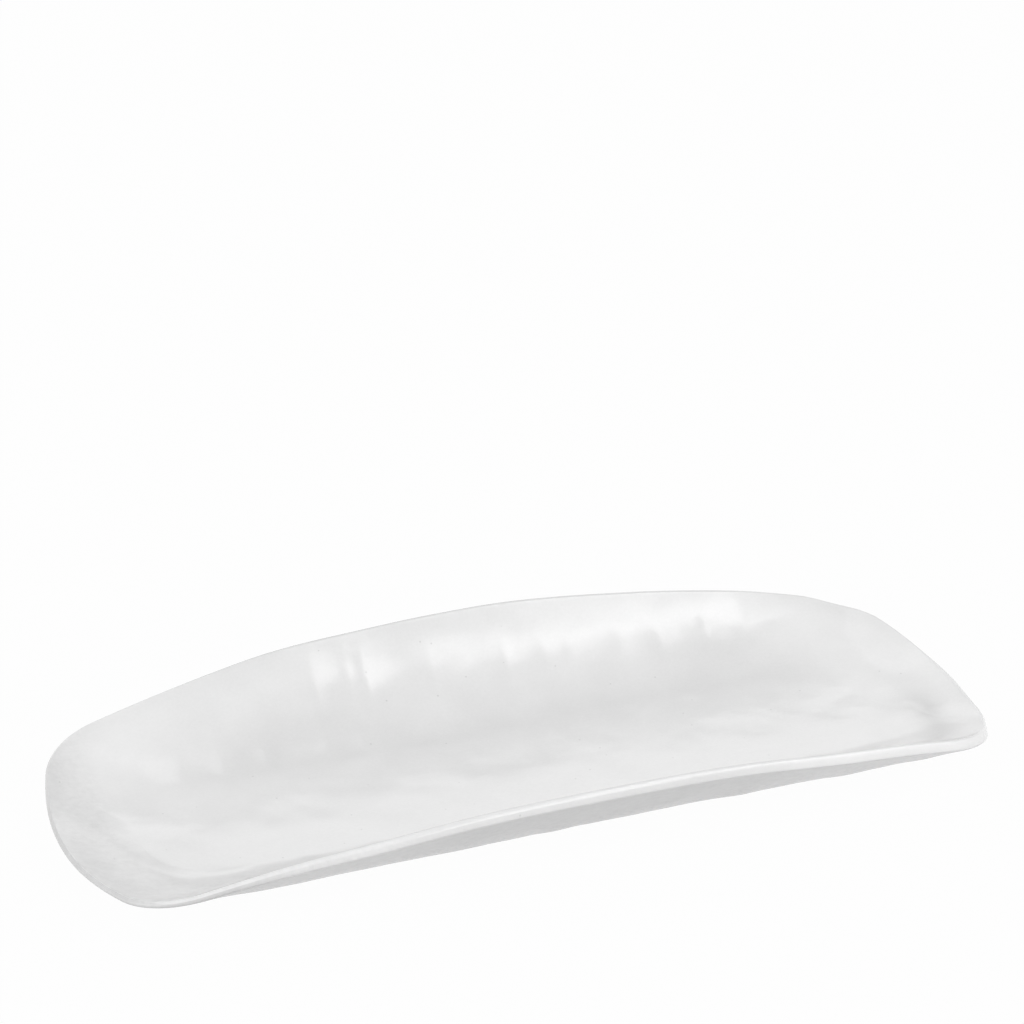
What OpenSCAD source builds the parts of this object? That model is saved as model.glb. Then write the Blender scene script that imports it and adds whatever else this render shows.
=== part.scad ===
// Asparagus plate: a long, shallow serving plate of white glazed stoneware.
// Both long sides swoop up towards their middles and the ends stay low, so that the stalks lie
// in a trough and can be lifted out at either end. The shell is one lofted form of even
// thickness with a rounded rim. It stands on a bare clay foot ring, luted on under the well.
// Millimetres, +Z up. The origin is the middle of the plate on the table, +X runs along the
// plate to its right-hand end and -Y is the long side towards the diner.

/* [Rim seen from above] */
// Length over the outside of the rim
plate_l = 364.6; // [345:0.2:400]
// Width over the outside of the rim, at its middle
plate_w = 160.2; // [148:0.2:180]
// How far each long side bows out from its corners to its middle
side_bow = 16.4; // [8:0.2:22]
// How far each end bows out from its corners to its middle
end_bow = 21.8; // [14:0.2:32]
// Radius of the four corners
corner_r = 33; // [22:1:46]
// Share of the width that is lost from the middle to the right-hand end, and gained to the left
taper_share = 0.018; // [0:0.002:0.04]

/* [Rise of the rim] */
// Height of the rim at the middle of each long side
side_h = 37.8; // [30:0.2:46]
// Height of the rim at the middle of the ends
end_h = 13.6; // [12.6:0.2:18]
// How far the corners are lifted above the swoop
corner_lift = 4.2; // [0:0.2:7]
// Power of the swoop along the long sides, where 2 is a parabola
swoop_power = 2.2; // [1.6:0.1:3]

/* [Wall] */
// Thickness of the wall at its rounded rim
rim_t = 4.6; // [3.8:0.1:5.6]
// Share of the wall's run over which it bends up from the floor, along the sides
side_bend_share = 0.75; // [0.45:0.05:1]
// Share of the wall's run over which it bends up from the floor, at the ends
end_bend_share = 0.4; // [0.3:0.05:0.8]

/* [Well] */
// Length of the flat floor of the well
well_l = 314; // [290:1:322]
// Width of the flat floor at its middle
well_w = 66; // [54:1:78]
// How far each long edge of the floor bows out
well_side_bow = 2.4; // [1:0.2:5]
// How far each end of the floor bows out
well_end_bow = 9; // [5:0.5:14]
// Radius of the floor's corners
well_corner_r = 24; // [18:1:28]
// How far the well sits towards the right-hand end
well_shift = 4; // [0:0.5:6]
// Thickness of the floor
floor_t = 5; // [4:0.1:6.4]

/* [Foot ring] */
// Height of the foot ring, which is the depth of the recess inside it
foot_h = 2.4; // [1.6:0.1:4]
// Width of the band that touches the table
foot_w = 8; // [5:0.5:10]
// How far the foot ring stands in from the edge of the floor
foot_inset = 3; // [1:0.5:5]

/* [Fineness] */
// Steps round each quarter of an end arc
end_steps = 7; // [5:1:10]
// Steps round each corner arc
corner_steps = 11; // [8:1:14]
// Steps along each half of a side arc
side_steps = 10; // [8:1:14]
// Steps up each face of the wall
wall_steps = 12; // [8:1:14]
// Steps round the rim's edge
lip_steps = 8; // [6:1:10]

/* [Hidden] */
// Outside of the rim to the middle of its thickness
lip_r = rim_t / 2;
// Height at which the middle of the floor's thickness lies
floor_mid_h = foot_h + floor_t / 2;
// Each further step up the wall is longer than the last, because the wall bends most at the floor
step_power = 1.4;
// The corner lift fades quickly along the plate and more slowly across it
lift_power = 6;
glaze = [0.95, 0.95, 0.94];
bare_clay = [0.87, 0.83, 0.76];

// Radius of the arc that bows out by this much over a half chord
function arc_r(half, bow) = (half * half + bow * bow) / (2 * bow);

// Points of an arc from one angle towards another, without its last point
function arc(centre, r, from, to, steps) =
    [for (k = [0:steps - 1]) let (a = from + (to - from) * k / steps) centre + r * [cos(a), sin(a)]];

// The quarter outline from the middle of the right end to the middle of the back side.
// An end arc, a corner arc and a side arc meet tangent to each other.
function quarter(l, w, side, end, r, inset) =
    let (
        end_r = arc_r(w / 2, end),
        side_r = arc_r(l / 2, side),
        end_c = [l / 2 - end_r, 0],
        side_c = [0, w / 2 - side_r],
        gap = norm(side_c - end_c),
        to_end = end_r - r,
        to_side = side_r - r,
        along = (to_end * to_end - to_side * to_side + gap * gap) / (2 * gap),
        across = sqrt(to_end * to_end - along * along),
        dir = (side_c - end_c) / gap,
        corner_c = end_c + along * dir + across * [-dir.y, dir.x],
        a = atan2(corner_c.y - end_c.y, corner_c.x - end_c.x),
        b = atan2(corner_c.y - side_c.y, corner_c.x - side_c.x)
    )
    [
        each arc(end_c, end_r - inset, 0, a, end_steps),
        each arc(corner_c, r - inset, a, b, corner_steps),
        each arc(side_c, side_r - inset, b, 90, side_steps),
        [0, w / 2 - inset]
    ];

// The whole outline, anticlockwise from the middle of the right end, narrowed towards that end
function outline(l, w, side, end, r, inset, shift) =
    let (q = quarter(l, w, side, end, r, inset), last = len(q) - 1)
    [
        for (p = [
            for (k = [0:last - 1]) q[k],
            for (k = [last:-1:1]) [-q[k].x, q[k].y],
            for (k = [0:last - 1]) -q[k],
            for (k = [last:-1:1]) [q[k].x, -q[k].y]
        ])
        [p.x + shift, p.y * (1 - taper_share * (p.x + shift) / (plate_l / 2))]
    ];

function rim_outline() = outline(plate_l, plate_w, side_bow, end_bow, corner_r, lip_r, 0);
function well_outline(inset) =
    outline(well_l, well_w, well_side_bow, well_end_bow, well_corner_r, inset, well_shift);

// Height of the middle of the rim's thickness over a point of its outline
function rim_mid_h(p) =
    let (along = p.x / (plate_l / 2 - lip_r), across = p.y / (plate_w / 2 - lip_r))
    end_h - lip_r
    + (side_h - end_h) * (1 - pow(abs(along), swoop_power))
    + corner_lift * pow(abs(along), lift_power) * across * across;

// Shape of the wall: height and slope, from 0 at the floor to 1 at the rim.
// It bends up over the given share of its run and is nearly straight above that.
function rise(u, bend) = (sqrt(1 + pow(u / bend, 2)) - 1) / (sqrt(1 + 1 / (bend * bend)) - 1);
function slope(u, bend) =
    u / (bend * bend) / sqrt(1 + pow(u / bend, 2)) / (sqrt(1 + 1 / (bend * bend)) - 1);

// One point of the wall's section through a station. The middle of the wall runs from the floor's
// edge to the rim's middle, and side is +1 on the glazed inside and -1 on the outside.
function wall_point(foot, rim, bend, u, side) =
    let (
        run = norm(rim - foot),
        out = (rim - foot) / run,
        h = rim_mid_h(rim) - floor_mid_h,
        lean = atan2(h * slope(u, bend), run),
        half_t = (floor_t + (rim_t - floor_t) * u) / 2,
        plan = foot + out * (run * u - side * half_t * sin(lean))
    )
    [plan.x, plan.y, floor_mid_h + h * rise(u, bend) + side * half_t * cos(lean)];

// One point of the rounded edge, from 0 on the inside to 1 on the outside
function lip_point(foot, rim, bend, k) =
    let (
        run = norm(rim - foot),
        out = (rim - foot) / run,
        lean = atan2((rim_mid_h(rim) - floor_mid_h) * slope(1, bend), run),
        a = lean + 90 - 180 * k,
        plan = rim + out * (lip_r * cos(a))
    )
    [plan.x, plan.y, rim_mid_h(rim) + lip_r * sin(a)];

// The shell: rings up the inside of the wall, over the rim and down the outside.
// The floor closes it above and below.
module plate_body() {
    rim = rim_outline();
    foot = well_outline(0);
    n = len(rim);
    // The wall bends up more sharply at the ends than along the sides
    bends = [
        for (p = rim)
        let (across = min(1, abs(p.y) / (plate_w / 2)))
        end_bend_share + (side_bend_share - end_bend_share) * across * across
    ];
    heights = [for (k = [0:wall_steps]) pow(k / wall_steps, step_power)];
    rows = [
        for (u = heights) [for (i = [0:n - 1]) wall_point(foot[i], rim[i], bends[i], u, 1)],
        for (k = [1:lip_steps - 1]) [for (i = [0:n - 1]) lip_point(foot[i], rim[i], bends[i], k / lip_steps)],
        for (k = [wall_steps:-1:0]) [for (i = [0:n - 1]) wall_point(foot[i], rim[i], bends[i], heights[k], -1)]
    ];
    last = len(rows) - 1;
    color(glaze)
        polyhedron(
            points = [for (row = rows) each row],
            faces = [
                [for (i = [n - 1:-1:0]) i],
                for (r = [0:last - 1], i = [0:n - 1])
                    let (j = (i + 1) % n)
                    each [
                        [r * n + i, r * n + j, (r + 1) * n + j],
                        [r * n + i, (r + 1) * n + j, (r + 1) * n + i]
                    ],
                [for (i = [0:n - 1]) last * n + i]
            ]
        );
}

// The bare band that the plate stands on
module foot_ring() {
    color(bare_clay)
        linear_extrude(foot_h)
            difference() {
                polygon(well_outline(foot_inset));
                polygon(well_outline(foot_inset + foot_w));
            }
}

plate_body();
foot_ring();
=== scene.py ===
"""An asparagus plate of white glazed stoneware, hand formed, on its bare clay foot ring.

The shell is built by the same rule as its construction: a wall lofted from the edge of the well's
floor to a rim that swoops up along both long sides. Here it also has what hands leave in clay:
strokes up the walls, an uneven floor and a rim that wavers a little. Values are in metres, apart
from those that are said to be in millimetres. +X runs along the plate to its right end, and -Y is
its front.
"""

import math

import bpy
import numpy as np
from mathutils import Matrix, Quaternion, Vector, noise


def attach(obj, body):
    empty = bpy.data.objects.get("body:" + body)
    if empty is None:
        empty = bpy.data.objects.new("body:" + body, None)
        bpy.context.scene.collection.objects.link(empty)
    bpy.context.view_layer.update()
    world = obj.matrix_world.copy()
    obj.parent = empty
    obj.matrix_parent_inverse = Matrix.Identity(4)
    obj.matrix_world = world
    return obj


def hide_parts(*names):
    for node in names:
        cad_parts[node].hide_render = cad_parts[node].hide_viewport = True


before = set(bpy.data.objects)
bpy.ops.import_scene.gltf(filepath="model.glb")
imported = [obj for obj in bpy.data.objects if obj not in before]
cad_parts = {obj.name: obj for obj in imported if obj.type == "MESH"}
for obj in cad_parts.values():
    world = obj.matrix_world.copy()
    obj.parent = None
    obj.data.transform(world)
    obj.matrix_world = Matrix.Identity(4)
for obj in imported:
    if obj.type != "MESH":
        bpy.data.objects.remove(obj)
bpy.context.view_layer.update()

MM = 0.001

# Sizes of the plate, as its construction has them
PLATE_L = 364.6 * MM
PLATE_W = 160.2 * MM
SIDE_BOW = 16.4 * MM
END_BOW = 21.8 * MM
CORNER_R = 33 * MM
TAPER_SHARE = 0.018
SIDE_H = 37.8 * MM
END_H = 13.6 * MM
CORNER_LIFT = 4.2 * MM
SWOOP_POWER = 2.2
LIFT_POWER = 6
RIM_T = 4.6 * MM
SIDE_BEND_SHARE = 0.75
END_BEND_SHARE = 0.4
WELL_L = 314 * MM
WELL_W = 66 * MM
WELL_SIDE_BOW = 2.4 * MM
WELL_END_BOW = 9 * MM
WELL_CORNER_R = 24 * MM
WELL_SHIFT = 4 * MM
FLOOR_T = 5 * MM
FOOT_H = 2.4 * MM
FOOT_W = 8 * MM
FOOT_INSET = 3 * MM
LIP_R = RIM_T / 2
FLOOR_MID_H = FOOT_H + FLOOR_T / 2

# Steps round a quarter of an end arc, a corner arc and a side arc
STEPS = (26, 44, 110)
# Rings over the floor and under it, and the steps round each arc of the lip and each worn edge
FLOOR_ROWS = 22
UNDER_ROWS = 12
LIP_STEPS = 6
WORN_STEPS = 6
# Heights of the rings up the wall, from 0 at the floor to 1 at the rim, closest at the floor
WALL_ROWS = 48
STEP_POWER = 1.2
WALL_HEIGHTS = [(k / WALL_ROWS) ** STEP_POWER for k in range(WALL_ROWS + 1)]

# The floor's middle is pressed lower than its edge: by how much, and the share of it that is a
# lower middle, where the rest is a higher edge
DISH = 1.1 * MM
DISH_SUNK = 0.5
# Strokes up both long walls: the ridges between them, as places along the plate in millimetres
BACK_RIDGES = (-140, -122, -105, -87, -62, -47.7, -41, -14, 17, 33.6, 43.5, 65.4, 82, 101.7, 118, 136)
FRONT_RIDGES = (-138, -116, -98, -70, -55, -31, -9, 6, 28, 49, 61, 84, 108, 131)
# Slope of a stroke where it meets its ridges, at the left and at the right of the plate
STROKE_SLOPE_LEFT = 0.06
STROKE_SLOPE_RIGHT = 0.03
# How far a ridge leans along the plate on its way up, and the height at which it is in its place
STROKE_LEAN = 5 * MM
STROKE_PLACED_AT = 0.6
# Strokes are only where the rim is this far from the middle line. They come in round the floor's
# edge and, higher up, lose this share of their depth towards the rim.
STROKE_SIDES = (40 * MM, 60 * MM)
STROKE_START = (-0.2, 0.2)
STROKE_SHALLOWS = (0.7, 1)
STROKE_LOST_AT_RIM = 0.8
# Unevenness of the clay: rise, size of its features and seed
UNEVENNESS = ((0.25 * MM, 36 * MM, 3), (0.18 * MM, 14 * MM, 11), (0.04 * MM, 5 * MM, 23))
# Heights between which the relief of the inside and of the outside fades towards the rim, and the
# share of the inside's unevenness that is left there
INSIDE_FADE = (0.8, 1)
OUTSIDE_FADE = (0.7, 1)
UNEVEN_AT_RIM = 0.15
# Shift of the outside's unevenness, so that it doesn't repeat the inside's
OUTSIDE_SHIFT = 0.5

# Waves of the rim and of the hull: place along the plate, half width and rise, in millimetres
BACK_RIM_WAVES = (
    (-76, 22, 0.65), (-36, 18, -0.3), (21, 20, 0.4), (69, 18, -0.3),
    (124, 16, 0.4), (160, 9, -1), (175, 8, 1.3),
)
FRONT_RIM_WAVES = ((-85, 30, -1.1), (98, 28, -1.1), (174, 8, -0.9))
FRONT_HULL_WAVES = (
    (-148, 14, -0.4), (-119, 12, 0.65), (-101, 12, 0.35), (-45, 20, 0.27), (-7, 6, 0.35), (1, 22, -0.4),
    (48, 20, -0.35), (69, 6, 0.4), (111, 6, 0.35), (122, 16, 0.5), (143, 6, 0.4), (159, 9, -1),
)
# How far from the middle line the rim's waves and the hull's waves come in
RIM_WAVE_SIDES = (0, 30 * MM)
HULL_WAVE_SIDES = (0, 20 * MM)
# How much lower the back rim is, because the edge of its bevel stands higher than a full round
BACK_RIM_DROP = 0.75 * MM
# Swells of the right end's rim seen from above: place across the plate, half width and reach out,
# in millimetres, and the places along the plate between which they come in
RIGHT_END_SWELLS = ((-35, 13, 2.2), (2, 16, 0.2))
RIGHT_END = (140 * MM, 165 * MM)
# Creases where the floor meets the low ends, along the plate and across it, in millimetres
LEFT_CREASE = ((-167, 14), (-163, 2), (-160, -8), (-156, -18), (-151, -27), (-145, -39), (-136, -48))
RIGHT_CREASE = ((165, -2), (165, -12), (164, -22), (161, -35), (157, -43), (150, -43))
CREASE_HALF_WIDTH = 3.5 * MM
CREASE_DEPTH = 0.22 * MM
# A hollow inside the left end's rim, which leaves the lip above it steeper
LEFT_HOLLOW = ((-164, 52), (-168, 36), (-169, 18), (-170, 0), (-168, -18), (-163, -36), (-154, -52))
HOLLOW_HALF_WIDTH = 8 * MM
HOLLOW_DEPTH = 0.2 * MM

# The rim is pinched thinner round the left end: by how much, and the places along the plate where
# that is full and where it ends, each at the back and at the front
PINCH = 2.3 * MM
PINCH_FULL = (-165 * MM, -182 * MM)
PINCH_END = (-75 * MM, -85 * MM)
# Where the pinch passes from its places at the back to those at the front, how far from the middle
# line it is taken off one face alone, and where the thinner rim is drawn out by half of it
PINCH_TURN = (10 * MM, 45 * MM)
PINCH_ONE_FACE = PLATE_W / 3
PINCH_DRAWN_OUT = (-60 * MM, -10 * MM)
# The lip's bevel and facet: how steeply each of their edges faces up, in degrees, and the radii of
# the arcs after the inner edge as shares of the rim's thickness
LIP_FACES = (45, 37, 26, 15)
LIP_RADII = (1.79, 0.4, 1.73, 0.22)
# How far the foot ring's lower edges are worn round, by how much that varies, and the size and
# seed of its variation
WORN_R = 0.7 * MM
WORN_CHANGE = 0.3 * MM
WORN_SIZE = 11 * MM
WORN_SEED = 31

# The glaze: its shade, its roughness, and the range of tones round that shade, as a share
GLAZE_SHADE = 0.84
GLAZE_ROUGHNESS = (0.13, 0.19)
TONE_RANGE = 0.2
# Textures of the glaze and of the clay: features to a metre, and detail
GLAZE_CLOUDS = (55, 5)
GLAZE_GRAIN = (900, 2)
GLAZE_PEEL = (260, 2)
GLAZE_MOTTLE = (330, 3)
CLAY_CLOUDS = (90, 4)
CLAY_GRAIN = (1400, 2)
# The values between which most of a noise texture lies
NOISE_RANGE = (0.3, 0.7)
# How far the glaze's textures lighten and darken it, as shares. The mottle is only where it is dull.
CLOUD_TONE = 0.022
GRAIN_TONE = 0.012
MOTTLE_TONE = 0.03
# How much rougher the glaze is where it is dull
DULL_ROUGHNESS = 0.08
# Scattered dark specks and pinholes: how many to a metre, how wide as shares of their spacing,
# from full to none, and the tone of a speck and the level of a pinhole's bottom
SPECKS = 115
SPECK_SPAN = (0.03, 0.055)
SPECK_TONE = -0.16
PINHOLES = 210
PINHOLE_SPAN = (0.035, 0.07)
PINHOLE_LEVEL = 0.8
# Depth and strength of the bumps
PEEL_BUMP = (0.03 * MM, 0.5)
PINHOLE_BUMP = (0.1 * MM, 0.5)
CLAY_BUMP = (0.08 * MM, 0.7)
# The bare clay: its colour, light and dark, its roughness, pale and dark, and the height over
# which its contact band is rubbed darker and smoother
CLAY_COLOUR = (0.72, 0.67, 0.58)
CLAY_LIGHT = (0.78, 0.73, 0.63, 1)
CLAY_DARK = (0.55, 0.5, 0.43, 1)
CLAY_ROUGHNESS = (0.92, 0.6)
CLAY_RUBBED = (0.15 * MM, 0.8 * MM)
RUBBED_SHADE = 0.35
CLAY_CLOUD_SHADE = (0.1, 0.5)
CLAY_GRAIN_SHADE = 0.15

# Painted light and shade: spots where the glaze is made lighter or darker to stand in for light and
# shade. Place, half widths along and across the plate in millimetres, and the share by which it is
# lighter
PAINTED_LIGHT_AND_SHADE_SPOTS = (
    (-80, 44, 45, 12, -0.035),
    (20, 36, 60, 10, -0.02),
    (112, 38, 34, 13, -0.035),
    (-143, 58, 26, 16, 0.05),
    (-145, 38, 26, 16, 0.06),
    (-110, 22, 24, 12, 0.03),
    (-138, 14, 24, 14, 0.015),
    (142, 50, 24, 18, 0.05),
    (120, 0, 50, 16, 0.01),
    (172, -12, 8, 16, 0.035),
    (-174, 46, 8, 14, -0.03),
    (-178, 20, 7, 30, -0.01),
    (-167, 11, 3.5, 6, -0.03),
    (-155, -49, 18, 9, 0.14),
    (-174, -5, 9, 16, -0.09),
    (-142, -16, 18, 14, -0.03),
    (164, -18, 6, 12, -0.09),
    (156, -42, 7, 5, -0.08),
    (161, -27, 6, 7, -0.07),
    (146, -38, 10, 6, 0.06),
    (177, 0, 6, 22, 0.1),
    (170, -46, 9, 9, 0.14),
    (162, -54, 9, 6, 0.17),
    (152, 40, 12, 28, 0.04),
    (154, 14, 20, 18, 0.09),
    (138, -22, 28, 16, 0.025),
    (100, 80, 45, 6, -0.05),
    (-85, 18, 45, 12, 0.024),
    (-62, 52, 42, 11, -0.022),
    (75, 20, 44, 10, 0.02),
    (112, 54, 22, 8, -0.04),
    (-56, 64, 7, 7, -0.025),
    (140, 36, 14, 14, 0.02),
)
# The dull flare of the left end: its edge, which bends to the right ahead of a place across the
# plate, how sharply it bends, to a metre, and how far it is blended
FLARE_EDGE = -159 * MM
FLARE_BENDS_AHEAD_OF = 10 * MM
FLARE_CURVE = 17.5
FLARE_BLEND = (-3 * MM, 7 * MM)
# Painted shade and light on the inside, as shares by which it is lighter: painted shade over the flare,
# below the back rim and in the two creases, and painted light in a band below the lip of the front's
# left part. They come in between heights up the wall, and the band also between places along the plate
# and away from its middle line.
FLARE_TONE = -0.03
BACK_TONE = -0.035
BACK_TONE_HEIGHTS = (0.78, 1)
LEFT_CREASE_PAINTED_SHADE = -0.045
RIGHT_CREASE_PAINTED_SHADE = -0.05
BAND_TONE = 0.09
BAND_HEIGHTS = (0.85, 0.97)
BAND_LEFT = (-170 * MM, -155 * MM)
BAND_RIGHT = (-118 * MM, -95 * MM)
BAND_SIDES = (20 * MM, 45 * MM)
# How far from the middle line the tones of the back and of the front come in
TONE_SIDES = (0, 50 * MM)
# Places along the plate between which the lip's tones at the left, at the front-left corner and on
# its light line end, and those at the right come in
LIP_LEFT = (-155 * MM, -100 * MM)
LIP_CORNER = (-145 * MM, -112 * MM)
LIP_LINE = (-80 * MM, -20 * MM)
LIP_RIGHT = (50 * MM, 105 * MM)
# Painted shade and highlights on the lip, as shares by which it is lighter, and how far round it
# they set in, from 0 inside to 1 outside: painted shade at the left, the corner, the back and the
# break of the front's inner edge, a painted highlight line, and painted light at the right. The break
# and the line have a middle and a half width, and the tone at the right ends again.
LIP_LEFT_TONE = -0.12
LIP_LEFT_SPAN = (0.5, 0.6)
LIP_CORNER_TONE = -0.12
LIP_CORNER_SPAN = (0, 0.08)
LIP_BACK_TONE = -0.22
LIP_BACK_SPAN = (0.15, 0.36)
LIP_BREAK_TONE = -0.07
LIP_BREAK_BAND = (0.14, 0.1)
LIP_LINE_TONE = 0.06
LIP_LINE_BAND = (0.48, 0.04)
LIP_RIGHT_TONE = 0.1
LIP_RIGHT_SPAN = (0.2, 0.4)
LIP_RIGHT_END = (0.75, 0.9)
# Where the corner's tone starts round the lip, how much later it starts right of the tip, and the
# places along the plate between which that changes
CORNER_START = 0.12
CORNER_DELAY = 0.34
CORNER_TIP = (-174 * MM, -160 * MM)
# How far round the lip the inside's tones end, and how high on the outside the lip's tones start
INSIDE_TONE_ENDS = (0, 0.5)
LIP_TONE_STARTS = (0.8, 1)
# Painted shade on the outside: on its left and middle, and where it leans least, under the belly
OUTSIDE_TONE = -0.06
OUTSIDE_TONE_ENDS = (30 * MM, 80 * MM)
BELLY_PAINTED_SHADE = -0.13
BELLY_LEAN = (math.radians(27), math.radians(35))

# The photograph: its size, and the camera that its outline gives, with angles in degrees
PHOTO_PX = 1024
SENSOR_W = 36 * MM
CAMERA_AZIMUTH = -21.51
CAMERA_ELEVATION = 29.27
CAMERA_DISTANCE = 1.7456
CAMERA_FOCAL_PX = 4544
CAMERA_CLIP = (0.05, 50)
ORIGIN_PX = (520.6, 785.0)

# The lamps are soft panels that face the plate, all at one distance: name, azimuth, elevation,
# width, height and roll in degrees as seen from the plate, radiance, and whether it is mirrored
# in the glaze. The fills aren't, because their mirror images whiten a plate that is seen end on.
LAMP_DISTANCE = 1.8
LAMPS = (
    ("window", 38, 45, 76, 10, 0, 4, True),
    ("strip_start", 30.5, 63.8, 7, 5, 0, 1, True),
    ("strip_left", 43.5, 61.2, 18, 6.6, -16, 4, True),
    ("strip_right", 60, 60.6, 18, 6, 2, 5.2, True),
    ("strip_end", 74.5, 59.8, 15, 4.6, 0, 3.8, True),
    ("strip_low", 43, 55, 17, 4.5, 0, 2.6, True),
    ("left_fill", 275, 14, 44, 24, 0, 2.2, False),
    ("front_left_fill", 300, 40, 44, 24, 0, 1.65, False),
    ("front_fill", 350, 12, 50, 20, 0, 1.5, False),
    ("right_fill", 75, 10, 40, 18, 0, 2.1, False),
    ("backdrop", 172, 25, 46, 12, 0, 1.12, True),
    ("back_top", 184, 62, 50, 30, 0, 1, True),
)
WORLD_LEVEL = 0.36
# The floor: its width, its shade and roughness, and the share of white that the camera sees
FLOOR_SIZE = 16
FLOOR_SHADE = 0.55
FLOOR_ROUGHNESS = 0.9
FLOOR_WHITE = 0.98


def smooth_step(low, high, values):
    """0 below the low value, 1 above the high one and a soft ramp between them."""
    share = np.clip((values - low) / (high - low), 0, 1)
    return share * share * (3 - 2 * share)


def falling(low, high, values):
    """1 below the low value, 0 above the high one and a soft ramp between them."""
    return 1 - smooth_step(low, high, values)


def soft_band(values, middle, half_width):
    """1 at the middle, falling softly to 0 on both sides."""
    return np.exp(-((values - middle) / half_width) ** 2)


def waves(places, swells):
    """Sum of soft swells, each a place, a half width and a rise in millimetres."""
    total = np.zeros(len(places))
    for place, half_width, rise in swells:
        total += rise * MM * soft_band(places, place * MM, half_width * MM)
    return total


def smooth_noise(points, size, seed):
    """Soft noise of about -1 to 1 over the points, with features of about this size."""
    return np.array([
        noise.noise(Vector((p[0] / size, p[1] / size, p[2] / size + seed)))
        for p in points
    ])


def uneven(points):
    """Unevenness of the clay under the hands."""
    return sum(rise * smooth_noise(points, size, seed) for rise, size, seed in UNEVENNESS)


def nearness(x, y, path, half_width):
    """1 on a path of places in millimetres, falling softly to 0 beside it and towards its ends."""
    stops = np.array(path) * MM
    lengths = np.linalg.norm(np.diff(stops, axis=0), axis=1)
    reached = np.concatenate([[0], np.cumsum(lengths)])
    place = np.column_stack([x, y])
    best = np.full(len(x), np.inf)
    along = np.zeros(len(x))
    for k, length in enumerate(lengths):
        step = (stops[k + 1] - stops[k]) / length
        share = np.clip((place - stops[k]) @ step, 0, length)
        away = np.linalg.norm(place - stops[k] - share[:, None] * step, axis=1)
        along = np.where(away < best, reached[k] + share, along)
        best = np.minimum(best, away)
    middle = np.sin(math.pi * np.clip(along / reached[-1], 0, 1)) ** 0.5
    return soft_band(best, 0, half_width) * middle


def material(name, base, roughness):
    """A new material, its nodes and its Principled shader, with a plain base colour and roughness."""
    made = bpy.data.materials.new(name)
    made.use_nodes = True
    shader = made.node_tree.nodes["Principled BSDF"]
    shader.inputs["Base Color"].default_value = (*base, 1)
    shader.inputs["Roughness"].default_value = roughness
    return made, made.node_tree, shader


def noise_texture(tree, coordinates, texture):
    """A noise texture over the object's own coordinates, from its features to a metre and detail."""
    node = tree.nodes.new("ShaderNodeTexNoise")
    node.inputs["Scale"].default_value, node.inputs["Detail"].default_value = texture
    tree.links.new(coordinates.outputs["Object"], node.inputs["Vector"])
    return node.outputs["Fac"]


def scattered(tree, coordinates, scale):
    """Distance from scattered points, this many to a metre, in shares of their spacing."""
    node = tree.nodes.new("ShaderNodeTexVoronoi")
    node.inputs["Scale"].default_value = scale
    tree.links.new(coordinates.outputs["Object"], node.inputs["Vector"])
    return node.outputs["Distance"]


def painted(tree, name):
    """A value kept on the points of the mesh."""
    node = tree.nodes.new("ShaderNodeAttribute")
    node.attribute_name = name
    return node.outputs["Fac"]


def ramp(tree, source, low, high, start, stop):
    """Maps a range of a factor onto another range of values."""
    node = tree.nodes.new("ShaderNodeMapRange")
    node.inputs["From Min"].default_value = low
    node.inputs["From Max"].default_value = high
    node.inputs["To Min"].default_value = start
    node.inputs["To Max"].default_value = stop
    tree.links.new(source, node.inputs["Value"])
    return node.outputs["Result"]


def toned(tree, texture, amount):
    """A noise texture as a tone of this much darker to this much lighter."""
    return ramp(tree, texture, *NOISE_RANGE, -amount, amount)


def combined(tree, operation, first, second):
    """Two values added or multiplied by a Math node."""
    node = tree.nodes.new("ShaderNodeMath")
    node.operation = operation
    tree.links.new(first, node.inputs[0])
    tree.links.new(second, node.inputs[1])
    return node.outputs[0]


def sum_of(tree, first, *others):
    """Two or more values added up."""
    total = first
    for other in others:
        total = combined(tree, "ADD", total, other)
    return total


def bumped(tree, height, bump):
    """A bump of the given depth and strength over a texture's heights."""
    node = tree.nodes.new("ShaderNodeBump")
    node.inputs["Distance"].default_value, node.inputs["Strength"].default_value = bump
    tree.links.new(height, node.inputs["Height"])
    return node


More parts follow.
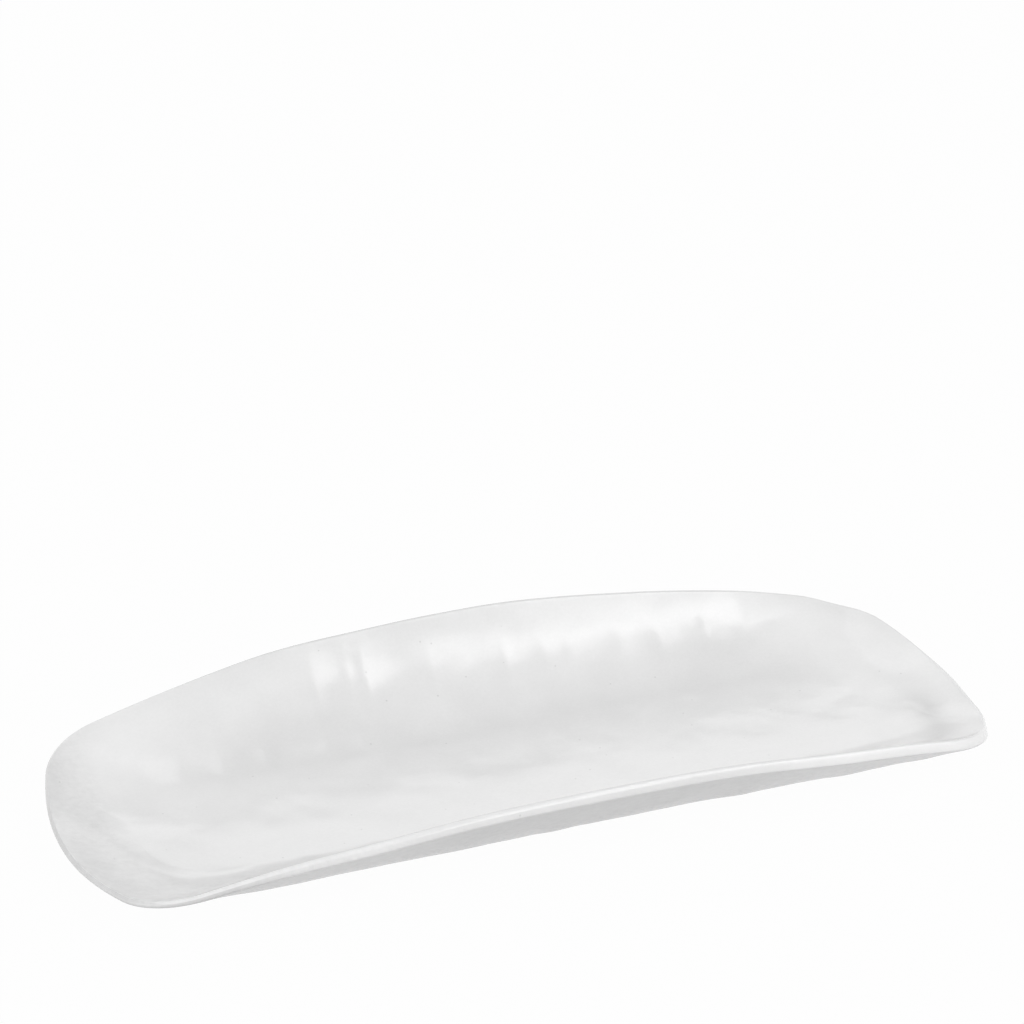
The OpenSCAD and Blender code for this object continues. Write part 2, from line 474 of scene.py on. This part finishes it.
def white_glaze():
    """White glaze: cloudy in tone, with painted light and shade, orange peel, specks and pinholes."""
    middle_roughness = sum(GLAZE_ROUGHNESS) / 2
    made, tree, shader = material("white_glaze", (GLAZE_SHADE,) * 3, middle_roughness)
    coordinates = tree.nodes.new("ShaderNodeTexCoord")
    clouds = noise_texture(tree, coordinates, GLAZE_CLOUDS)
    grain = noise_texture(tree, coordinates, GLAZE_GRAIN)
    peel = noise_texture(tree, coordinates, GLAZE_PEEL)
    mottle = noise_texture(tree, coordinates, GLAZE_MOTTLE)
    holes = scattered(tree, coordinates, PINHOLES)
    specks = scattered(tree, coordinates, SPECKS)
    dull = painted(tree, "dull")

    tone = sum_of(
        tree,
        toned(tree, clouds, CLOUD_TONE),
        toned(tree, grain, GRAIN_TONE),
        # painted light and shade, kept on the mesh's points
        painted(tree, "painted_shade_and_light"),
        combined(tree, "MULTIPLY", toned(tree, mottle, MOTTLE_TONE), dull),
        ramp(tree, specks, *SPECK_SPAN, SPECK_TONE, 0),
    )
    darkest = GLAZE_SHADE * (1 - TONE_RANGE)
    lightest = GLAZE_SHADE * (1 + TONE_RANGE)
    shade = ramp(tree, tone, -TONE_RANGE, TONE_RANGE, darkest, lightest)
    tree.links.new(shade, shader.inputs["Base Color"])
    glossy = ramp(tree, clouds, *NOISE_RANGE, *GLAZE_ROUGHNESS)
    roughness = sum_of(tree, glossy, ramp(tree, dull, 0, 1, 0, DULL_ROUGHNESS))
    tree.links.new(roughness, shader.inputs["Roughness"])

    orange_peel = bumped(tree, peel, PEEL_BUMP)
    pits = bumped(tree, ramp(tree, holes, *PINHOLE_SPAN, PINHOLE_LEVEL, 1), PINHOLE_BUMP)
    tree.links.new(orange_peel.outputs["Normal"], pits.inputs["Normal"])
    tree.links.new(pits.outputs["Normal"], shader.inputs["Normal"])
    return made


def bare_clay():
    """Fired clay left bare: grainy and buff, greyer and smoother where it has rubbed on tables."""
    made, tree, shader = material("bare_clay", CLAY_COLOUR, CLAY_ROUGHNESS[0])
    coordinates = tree.nodes.new("ShaderNodeTexCoord")
    clouds = noise_texture(tree, coordinates, CLAY_CLOUDS)
    grain = noise_texture(tree, coordinates, CLAY_GRAIN)
    place = tree.nodes.new("ShaderNodeSeparateXYZ")
    tree.links.new(coordinates.outputs["Object"], place.inputs[0])

    shade = sum_of(
        tree,
        ramp(tree, clouds, *NOISE_RANGE, *CLAY_CLOUD_SHADE),
        ramp(tree, place.outputs["Z"], *CLAY_RUBBED, RUBBED_SHADE, 0),
        toned(tree, grain, CLAY_GRAIN_SHADE),
    )
    tint = tree.nodes.new("ShaderNodeValToRGB")
    tint.color_ramp.elements[0].color = CLAY_LIGHT
    tint.color_ramp.elements[1].color = CLAY_DARK
    tree.links.new(shade, tint.inputs["Fac"])
    tree.links.new(tint.outputs["Color"], shader.inputs["Base Color"])
    tree.links.new(ramp(tree, shade, 0, 1, *CLAY_ROUGHNESS), shader.inputs["Roughness"])
    tree.links.new(bumped(tree, grain, CLAY_BUMP).outputs["Normal"], shader.inputs["Normal"])
    return made


def arc_radius(half, bow):
    """Radius of the arc that bows out by this much over a half chord."""
    return (half * half + bow * bow) / (2 * bow)


def quarter(length, width, side_bow, end_bow, radius, inset):
    """The quarter outline from the middle of the right end to the middle of the back side."""
    end_r = arc_radius(width / 2, end_bow)
    side_r = arc_radius(length / 2, side_bow)
    end_c = np.array([length / 2 - end_r, 0])
    side_c = np.array([0, width / 2 - side_r])
    gap = np.linalg.norm(side_c - end_c)
    to_end = end_r - radius
    to_side = side_r - radius
    along = (to_end ** 2 - to_side ** 2 + gap ** 2) / (2 * gap)
    across = math.sqrt(to_end ** 2 - along ** 2)
    direct = (side_c - end_c) / gap
    corner_c = end_c + along * direct + across * np.array([-direct[1], direct[0]])
    start = math.atan2(corner_c[1] - end_c[1], corner_c[0] - end_c[0])
    stop = math.atan2(corner_c[1] - side_c[1], corner_c[0] - side_c[0])
    arcs = (
        (end_c, end_r - inset, 0, start),
        (corner_c, radius - inset, start, stop),
        (side_c, side_r - inset, stop, math.pi / 2),
    )
    points = [
        centre + r * np.array([math.cos(a), math.sin(a)])
        for (centre, r, low, high), count in zip(arcs, STEPS)
        for a in np.linspace(low, high, count, endpoint=False)
    ]
    points.append(np.array([0, width / 2 - inset]))
    return np.array(points)


def outline(length, width, side_bow, end_bow, radius, inset, shift):
    """The whole outline, anticlockwise from the middle of the right end, narrowed towards that end."""
    part = quarter(length, width, side_bow, end_bow, radius, inset)
    whole = np.vstack([
        part[:-1],
        (part * [-1, 1])[:0:-1],
        -part[:-1],
        (part * [1, -1])[:0:-1],
    ])
    whole[:, 0] += shift
    whole[:, 1] *= 1 - TAPER_SHARE * whole[:, 0] / (PLATE_L / 2)
    return whole


def rim_outline():
    """The middle of the rim's thickness, seen from above."""
    return outline(PLATE_L, PLATE_W, SIDE_BOW, END_BOW, CORNER_R, LIP_R, 0)


def well_outline(inset):
    """The edge of the well's floor, or a line this far inside it."""
    return outline(WELL_L, WELL_W, WELL_SIDE_BOW, WELL_END_BOW, WELL_CORNER_R, inset, WELL_SHIFT)


def rim_mid_height(points):
    """Height of the middle of the rim's thickness over the points of its outline."""
    along = points[:, 0] / (PLATE_L / 2 - LIP_R)
    across = points[:, 1] / (PLATE_W / 2 - LIP_R)
    swoop = (SIDE_H - END_H) * (1 - np.abs(along) ** SWOOP_POWER)
    return END_H - LIP_R + swoop + CORNER_LIFT * np.abs(along) ** LIFT_POWER * across ** 2


class Wall:
    """The wall's section at every station, from 0 at the edge of the floor to 1 at the rim."""

    def __init__(self):
        self.rim = rim_outline()
        self.foot = well_outline(0)
        self.height = rim_mid_height(self.rim) - FLOOR_MID_H
        self.run = np.linalg.norm(self.rim - self.foot, axis=1)
        self.out = (self.rim - self.foot) / self.run[:, None]
        self.pinch_left_end()
        swell = smooth_step(*RIGHT_END, self.rim[:, 0]) * waves(self.rim[:, 1], RIGHT_END_SWELLS)
        self.move_rim_out(swell)
        self.wave_rim()
        across = np.minimum(1, np.abs(self.rim[:, 1]) / (PLATE_W / 2))
        self.bend = END_BEND_SHARE + (SIDE_BEND_SHARE - END_BEND_SHARE) * across ** 2
        self.full = np.sqrt(1 + 1 / self.bend ** 2) - 1

    def move_rim_out(self, distances):
        """Moves the rim away from the floor, seen from above."""
        self.rim += self.out * distances[:, None]
        self.run += distances

    def pinch_left_end(self):
        """Makes the rim thinner round the left end: sets by how much, and how far its middle sinks."""
        facing = smooth_step(*PINCH_TURN, -self.rim[:, 1])
        full = PINCH_FULL[0] + (PINCH_FULL[1] - PINCH_FULL[0]) * facing
        end = PINCH_END[0] + (PINCH_END[1] - PINCH_END[0]) * facing
        self.pinch = PINCH * falling(full, end, self.rim[:, 0])
        self.sink = self.pinch / 2 * np.clip(-self.rim[:, 1] / PINCH_ONE_FACE, -1, 1)
        self.move_rim_out(self.pinch / 2 * smooth_step(*PINCH_DRAWN_OUT, self.rim[:, 1]))

    def wave_rim(self):
        """Raises and lowers the long sides of the rim by their waves."""
        back = smooth_step(*RIM_WAVE_SIDES, self.rim[:, 1])
        front = smooth_step(*RIM_WAVE_SIDES, -self.rim[:, 1])
        self.height += back * (waves(self.rim[:, 0], BACK_RIM_WAVES) - BACK_RIM_DROP)
        self.height += front * waves(self.rim[:, 0], FRONT_RIM_WAVES)

    def lean(self, u):
        """How far the wall leans up from level at this height."""
        slope = u / self.bend ** 2 / np.sqrt(1 + (u / self.bend) ** 2) / self.full
        return np.arctan2(self.height * slope, self.run)

    def row(self, u, side):
        """Points of one ring of the wall: side is +1 inside and -1 outside."""
        lean = self.lean(u)
        half_t = (FLOOR_T + (RIM_T - self.pinch - FLOOR_T) * u) / 2
        above = side * half_t - self.sink * u
        plan = self.foot + self.out * (self.run * u - above * np.sin(lean))[:, None]
        rise = (np.sqrt(1 + (u / self.bend) ** 2) - 1) / self.full
        return np.column_stack([plan, FLOOR_MID_H + self.height * rise + above * np.cos(lean)])

    def inward(self, u):
        """Directions square to the wall, out of its glazed inside."""
        lean = self.lean(u)
        return np.column_stack([-self.out * np.sin(lean)[:, None], np.cos(lean)])

    def lip_section(self):
        """Places of the lip's section, from the inside to the outside, each with how far out and how
        far up it lies, as shares of the rim's thickness, and the angle that it faces.

        The lip is a chain of arcs. A bevel follows its rounded inner edge, and a broader facet
        below that ends in a tight outer edge. The rounded inner edge takes up what the others leave.
        """
        lean = self.lean(1)
        square = np.full(len(lean), math.pi / 2)
        turns = [square] + [math.radians(face) - lean for face in LIP_FACES] + [-square]
        falls = [r * (np.sin(a) - np.sin(b)) for r, a, b in zip(LIP_RADII, turns[1:], turns[2:])]
        first = (1 - sum(falls)) / (1 - np.sin(turns[1]))
        along = np.zeros(len(lean))
        above = np.full(len(lean), 0.5)
        places = []
        for radius, start, stop in zip([first, *LIP_RADII], turns, turns[1:]):
            for share in np.linspace(0, 1, LIP_STEPS, endpoint=False):
                turn = start + (stop - start) * share
                reach = along + radius * (np.cos(turn) - np.cos(start))
                places.append((reach, above - radius * (np.sin(start) - np.sin(turn)), turn))
            along = along + radius * (np.cos(stop) - np.cos(start))
            above = above - radius * (np.sin(start) - np.sin(stop))
        places.append((along, above, turns[-1]))
        return places

    def lip(self):
        """Rings round the lip from the inside to the outside, each with how far round it lies."""
        lean = self.lean(1)
        places = self.lip_section()
        back = np.max([reach for reach, _, _ in places], axis=0) - 0.5
        thickness = RIM_T - self.pinch
        rings = []
        for reach, level, turn in places:
            out = (reach - back) * thickness
            up = level * thickness - self.sink
            plan = self.rim + self.out * (out * np.cos(lean) - up * np.sin(lean))[:, None]
            height = FLOOR_MID_H + self.height + out * np.sin(lean) + up * np.cos(lean)
            rings.append((np.column_stack([plan, height]), 0.5 - turn / math.pi))
        return rings


def dish(u, run_share):
    """Fill over the wall, as a share of the dish: it runs on up from the floor and fades at the rim."""
    climb = 2 * run_share
    return 1 + climb * u - (3 + 2 * climb) * u ** 2 + (2 + climb) * u ** 3


def strokes(x, u, ridges):
    """Depth of the strokes up a long wall. Each is a shallow flute between two ridges."""
    across = x - STROKE_LEAN * (u - STROKE_PLACED_AT)
    depth = np.zeros(len(x))
    for low, high in zip(ridges, ridges[1:]):
        width = (high - low) * MM
        share = (across - low * MM) / width
        slope = STROKE_SLOPE_LEFT if high < 0 else STROKE_SLOPE_RIGHT
        flute = slope * width * share * (1 - share)
        depth += np.where((share > 0) & (share < 1), flute, 0)
    return depth


def floor_fill(wall, u):
    """How far the dished floor, and the foot of the wall with it, stands above a flat one."""
    if u < 0:
        return DISH * ((1 + u) ** 2 - DISH_SUNK)
    return DISH * (dish(u, wall.run / (WELL_W / 2)) - DISH_SUNK * falling(0, 1, u))


def inside_relief(wall, points, u):
    """How far the inside stands above the plain surface. Below 0, u counts inwards over the floor."""
    x = points[:, 0]
    y = points[:, 1]
    fade = falling(*INSIDE_FADE, u)
    height = max(u, 0)
    cut = np.where(y > 0, strokes(x, height, BACK_RIDGES), strokes(x, height, FRONT_RIDGES))
    reach = smooth_step(*STROKE_START, u) * (1 - STROKE_LOST_AT_RIM * smooth_step(*STROKE_SHALLOWS, u))
    long_wall = smooth_step(*STROKE_SIDES, np.abs(wall.rim[:, 1]))
    crease = np.maximum(
        nearness(x, y, LEFT_CREASE, CREASE_HALF_WIDTH),
        nearness(x, y, RIGHT_CREASE, CREASE_HALF_WIDTH),
    )
    hollow = nearness(x, y, LEFT_HOLLOW, HOLLOW_HALF_WIDTH) * fade
    pressed = cut * reach * long_wall + CREASE_DEPTH * crease + HOLLOW_DEPTH * hollow
    return floor_fill(wall, u) - pressed + uneven(points) * (UNEVEN_AT_RIM + (1 - UNEVEN_AT_RIM) * fade)


def outside_relief(points, u):
    """How far the outside stands out from the plain surface."""
    front = smooth_step(*HULL_WAVE_SIDES, -points[:, 1])
    rise = front * waves(points[:, 0], FRONT_HULL_WAVES) + uneven(points + OUTSIDE_SHIFT)
    return falling(*OUTSIDE_FADE, u) * rise


def dull_flare(points):
    """1 on the flare of the left end, where the glaze lies thin and dull, and 0 on the rest inside."""
    ahead = np.maximum(0, -points[:, 1] - FLARE_BENDS_AHEAD_OF)
    edge = FLARE_EDGE + FLARE_CURVE * ahead ** 2
    return falling(*FLARE_BLEND, points[:, 0] - edge)


def painted_spots(x, y):
    """Painted light and shade: how much lighter or darker the glaze is made in the listed spots."""
    tone = np.zeros(len(x))
    for place_x, place_y, half_x, half_y, share in PAINTED_LIGHT_AND_SHADE_SPOTS:
        away = ((x - place_x * MM) / (half_x * MM)) ** 2 + ((y - place_y * MM) / (half_y * MM)) ** 2
        tone += share * np.exp(-away)
    return tone


def inside_light_and_shade_paint(points, u):
    """Painted light and shade over the points of the inside: how much lighter or darker the glaze is
    made, as a share.
    """
    x = points[:, 0]
    y = points[:, 1]
    # Painted light and shade in the spots, and painted shade over the flare and below the back rim
    tone = painted_spots(x, y) + FLARE_TONE * dull_flare(points)
    tone += BACK_TONE * smooth_step(*BACK_TONE_HEIGHTS, u) * smooth_step(*TONE_SIDES, y)
    # Painted light in a band below the lip of the front's left part
    band = smooth_step(*BAND_LEFT, x) * falling(*BAND_RIGHT, x)
    tone += BAND_TONE * smooth_step(*BAND_HEIGHTS, u) * band * smooth_step(*BAND_SIDES, -y)
    # Painted shade in the two creases
    tone += LEFT_CREASE_PAINTED_SHADE * nearness(x, y, LEFT_CREASE, CREASE_HALF_WIDTH)
    tone += RIGHT_CREASE_PAINTED_SHADE * nearness(x, y, RIGHT_CREASE, CREASE_HALF_WIDTH)
    return tone


def lip_light_and_shade_paint(points, over):
    """How much lighter or darker the lip is, as a share. Over is 0 on its inside and 1 outside.

    Shade is painted over the outer edge at the left, past the inner edge at the front-left corner,
    over the back and in a grey line along the front's inner edge. A painted highlight line follows
    the front's left part, and towards the right painted light makes the lip whiter.
    """
    x = points[:, 0]
    left = falling(*LIP_LEFT, x)
    back = smooth_step(*TONE_SIDES, points[:, 1])
    front = smooth_step(*TONE_SIDES, -points[:, 1])
    right = smooth_step(*LIP_RIGHT, x)
    corner = (1 - back) * falling(*LIP_CORNER, x)
    past_start = over - (CORNER_START + CORNER_DELAY * smooth_step(*CORNER_TIP, x))
    tone = LIP_LEFT_TONE * left * smooth_step(*LIP_LEFT_SPAN, over)
    tone += LIP_CORNER_TONE * corner * smooth_step(*LIP_CORNER_SPAN, past_start)
    tone += LIP_BACK_TONE * back * (1 - left) * smooth_step(*LIP_BACK_SPAN, over)
    tone += LIP_BREAK_TONE * front * (1 - right) * soft_band(over, *LIP_BREAK_BAND)
    tone += LIP_LINE_TONE * front * falling(*LIP_LINE, x) * soft_band(over, *LIP_LINE_BAND)
    white = smooth_step(*LIP_RIGHT_SPAN, over) * falling(*LIP_RIGHT_END, over)
    return tone + LIP_RIGHT_TONE * front * right * white


def outside_shade_paint(points, lean):
    """Painted shade on the outside, as a share by which the glaze is greyer: over its left and middle,
    and under the belly.
    """
    left = falling(*OUTSIDE_TONE_ENDS, points[:, 0])
    return OUTSIDE_TONE * left + BELLY_PAINTED_SHADE * falling(*BELLY_LEAN, lean)


def floor_rings(edge, count):
    """Rings from near the middle line of a flat floor out to its edge, without the edge itself."""
    half = np.abs(edge[:, 1]).max()
    centre = edge[:, 0].mean()
    reach = np.abs(edge[:, 0] - centre).max() - half
    spine = edge.copy()
    spine[:, 0] = centre + np.clip(edge[:, 0] - centre, -reach, reach)
    spine[:, 1] = 0
    shares = [(k + 0.5) / (count + 0.5) for k in range(count)]
    return [(share, spine + (edge - spine) * share) for share in shares]


def at_height(plan, height):
    """Points over or under a plan."""
    return np.column_stack([plan, np.full(len(plan), height)])


def inside_rings(wall):
    """Rings over the floor, up the inside of the wall and round the lip, each with its tones."""
    rings = []
    for share, plan in floor_rings(wall.foot, FLOOR_ROWS):
        ring = at_height(plan, FLOOR_MID_H + FLOOR_T / 2)
        ring[:, 2] += inside_relief(wall, ring, share - 1)
        rings.append((ring, inside_light_and_shade_paint(ring, 0)))
    for u in WALL_HEIGHTS:
        ring = wall.row(u, 1)
        relief = inside_relief(wall, ring, u)
        rings.append((ring + wall.inward(u) * relief[:, None], inside_light_and_shade_paint(ring, u)))
    for ring, over in wall.lip():
        tone = inside_light_and_shade_paint(ring, 1) * falling(*INSIDE_TONE_ENDS, over) + lip_light_and_shade_paint(ring, over)
        rings.append((ring, tone))
    return rings


def outside_rings(wall):
    """Rings down the outside of the wall and in over the underside, each with its tones."""
    rings = []
    for u in reversed(WALL_HEIGHTS):
        ring = wall.row(u, -1)
        relief = outside_relief(ring, u)
        tone = lip_light_and_shade_paint(ring, 1) * smooth_step(*LIP_TONE_STARTS, u) + outside_shade_paint(ring, wall.lean(u))
        rings.append((ring - wall.inward(u) * relief[:, None], tone))
    for _, plan in reversed(floor_rings(wall.foot, UNDER_ROWS)):
        rings.append((at_height(plan, FLOOR_MID_H - FLOOR_T / 2), np.zeros(len(plan))))
    return rings


def grid_faces(rows, count):
    """Quads between neighbouring rings of points."""
    return [
        (r * count + i, r * count + j, (r + 1) * count + j, (r + 1) * count + i)
        for r in range(rows - 1)
        for i, j in zip(range(count), [*range(1, count), 0])
    ]


def spine_faces(first, count, flip):
    """Faces that close the innermost ring across the middle line of the floor."""
    half = count // 2
    faces = []
    for i in range(half):
        loop = [i, i + 1, (count - i - 1) % count, (count - i) % count]
        kept = [v for k, v in enumerate(loop) if v not in loop[:k]]
        faces.append([first + v for v in (reversed(kept) if flip else kept)])
    return faces


def make_mesh(name, points, faces, finish):
    """A smooth mesh object with one material, linked into the scene."""
    data = bpy.data.meshes.new(name)
    data.from_pydata([tuple(p) for p in points], [], faces)
    data.validate()
    data.polygons.foreach_set("use_smooth", [True] * len(data.polygons))
    data.materials.append(finish)
    data.update()
    made = bpy.data.objects.new(name, data)
    bpy.context.scene.collection.objects.link(made)
    return made


def paint(piece, name, values):
    """Keeps a value for each point of a mesh, which its material reads by name."""
    layer = piece.data.attributes.new(name, "FLOAT", "POINT")
    layer.data.foreach_set("value", values.astype(np.float32))


def shell(finish):
    """The glazed shell: floor, inside of the wall, rounded rim, outside and underside."""
    wall = Wall()
    count = len(wall.rim)
    inside = inside_rings(wall)
    rings = inside + outside_rings(wall)
    points = np.vstack([ring for ring, _ in rings])
    faces = [tuple(reversed(f)) for f in grid_faces(len(rings), count)]
    faces += spine_faces(0, count, False)
    faces += spine_faces((len(rings) - 1) * count, count, True)
    made = make_mesh("glazed_shell", points, faces, finish)
    # The glaze is dull all over the outside, and inside on the flare alone
    glazed = len(inside) * count
    dull = np.ones(len(points))
    dull[:glazed] = dull_flare(points[:glazed])
    # Painted light and shade for the glaze, as a tone on every point
    paint(made, "painted_shade_and_light", np.concatenate([tone for _, tone in rings]))
    paint(made, "dull", dull)
    return made


def worn_rings(edge, inwards, worn):
    """Rings round a worn lower edge of the foot, from its side to its contact band."""
    rings = []
    for turn in np.linspace(0, math.pi / 2, WORN_STEPS + 1):
        plan = edge + inwards * (worn * (1 - math.cos(turn)))[:, None]
        rings.append(np.column_stack([plan, worn * (1 - math.sin(turn))]))
    return rings


def foot(finish):
    """The bare clay ring under the well, with its lower edges worn unevenly round."""
    outer = well_outline(FOOT_INSET)
    inner = well_outline(FOOT_INSET + FOOT_W)
    across = (inner - outer) / FOOT_W
    worn = WORN_R + WORN_CHANGE * smooth_noise(at_height(outer, 0), WORN_SIZE, WORN_SEED)
    rings = [
        at_height(outer, FOOT_H),
        *worn_rings(outer, across, worn),
        *reversed(worn_rings(inner, -across, worn)),
        at_height(inner, FOOT_H),
        at_height(outer, FOOT_H),
    ]
    return make_mesh("clay_foot", np.vstack(rings), grid_faces(len(rings), len(outer)), finish)


def towards(azimuth, elevation):
    """Direction from the plate, where azimuth 0 is its front and 90 degrees its right."""
    return Vector((
        math.sin(azimuth) * math.cos(elevation),
        -math.cos(azimuth) * math.cos(elevation),
        math.sin(elevation),
    ))


def camera_turn(azimuth, elevation):
    """Pitch and heading of a camera at the photograph's place that has the origin on its pixel."""
    right_of_axis = (ORIGIN_PX[0] - PHOTO_PX / 2) / CAMERA_FOCAL_PX
    above_axis = (PHOTO_PX / 2 - ORIGIN_PX[1]) / CAMERA_FOCAL_PX
    reach = math.sqrt(1 + right_of_axis ** 2 + above_axis ** 2)
    drop = math.asin(-math.sin(elevation) * reach / math.hypot(1, above_axis))
    pitch = drop - math.atan(above_axis)
    ahead = math.cos(pitch) - above_axis * math.sin(pitch)
    return pitch, -azimuth - math.atan2(right_of_axis, ahead)


def add_camera():
    """A camera at the photograph's place, turned towards the photograph's view, with no shift."""
    azimuth = math.radians(CAMERA_AZIMUTH)
    elevation = math.radians(CAMERA_ELEVATION)
    pitch, heading = camera_turn(azimuth, elevation)
    data = bpy.data.cameras.new("photo_camera")
    data.sensor_width = SENSOR_W / MM
    data.lens = CAMERA_FOCAL_PX / PHOTO_PX * SENSOR_W / MM
    data.clip_start, data.clip_end = CAMERA_CLIP
    camera = bpy.data.objects.new("photo_camera", data)
    camera.location = towards(azimuth, elevation) * CAMERA_DISTANCE
    camera.rotation_euler = (math.pi / 2 + pitch, 0, -heading)
    bpy.context.scene.collection.objects.link(camera)
    bpy.context.scene.camera = camera


def studio_lamp(name, azimuth, elevation, wide, tall, roll, radiance, mirrored):
    """A lamp from a row of the table. Its width is in degrees of azimuth, which narrow higher up."""
    above = math.radians(elevation)
    data = bpy.data.lights.new(name, "AREA")
    data.shape = "RECTANGLE"
    data.size = 2 * LAMP_DISTANCE * math.tan(math.radians(wide / 2)) * math.cos(above)
    data.size_y = 2 * LAMP_DISTANCE * math.tan(math.radians(tall / 2))
    data.energy = math.pi * data.size * data.size_y * radiance
    lamp = bpy.data.objects.new(name, data)
    lamp.location = LAMP_DISTANCE * towards(math.radians(azimuth), above)
    facing = lamp.location.to_track_quat("Z", "Y") @ Quaternion((0, 0, 1), math.radians(roll))
    lamp.rotation_euler = facing.to_euler()
    lamp.visible_glossy = mirrored
    bpy.context.scene.collection.objects.link(lamp)


def seen_or_mirrored(tree):
    """1 for a ray that comes from the camera, or from a gloss or a glass, and 0 for light."""
    path = tree.nodes.new("ShaderNodeLightPath")
    rays = ("Is Camera Ray", "Is Glossy Ray", "Is Transmission Ray")
    return sum_of(tree, *(path.outputs[ray] for ray in rays))


def background(tree, level):
    """A white background of this strength."""
    node = tree.nodes.new("ShaderNodeBackground")
    node.inputs["Color"].default_value = (1, 1, 1, 1)
    node.inputs["Strength"].default_value = level
    return node


def mixed(tree, share, first, second):
    """A mix of two shaders by a share of the second."""
    node = tree.nodes.new("ShaderNodeMixShader")
    tree.links.new(share, node.inputs[0])
    tree.links.new(first.outputs[0], node.inputs[1])
    tree.links.new(second.outputs[0], node.inputs[2])
    return node.outputs[0]


def light_world():
    """A plain even world, white where it is seen or mirrored."""
    world = bpy.data.worlds.new("studio")
    world.use_nodes = True
    bpy.context.scene.world = world
    tree = world.node_tree
    tree.nodes.clear()
    out = tree.nodes.new("ShaderNodeOutputWorld")
    shade = mixed(tree, seen_or_mirrored(tree), background(tree, WORLD_LEVEL), background(tree, 1))
    tree.links.new(shade, out.inputs["Surface"])


def add_floor():
    """A wide pale floor that is white to the camera and keeps a faint shadow."""
    finish, tree, shader = material("pale_floor", (FLOOR_SHADE,) * 3, FLOOR_ROUGHNESS)
    white = tree.nodes.new("ShaderNodeEmission")
    white.inputs["Strength"].default_value = 1
    share = ramp(tree, seen_or_mirrored(tree), 0, 1, 0, FLOOR_WHITE)
    shade = mixed(tree, share, shader, white)
    tree.links.new(shade, tree.nodes["Material Output"].inputs["Surface"])
    bpy.ops.mesh.primitive_plane_add(size=FLOOR_SIZE, location=(0, 0, 0))
    floor = bpy.context.object
    floor.name = "pale_floor"
    floor.data.materials.append(finish)


add_camera()
glaze = white_glaze()
clay = bare_clay()
plate = shell(glaze)
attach(plate, "root")
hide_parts("plate_body")
ring = foot(clay)
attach(ring, "root")
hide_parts("foot_ring")
add_floor()
for lamp_values in LAMPS:
    studio_lamp(*lamp_values)
light_world()
bpy.context.scene.view_settings.view_transform = "Standard"
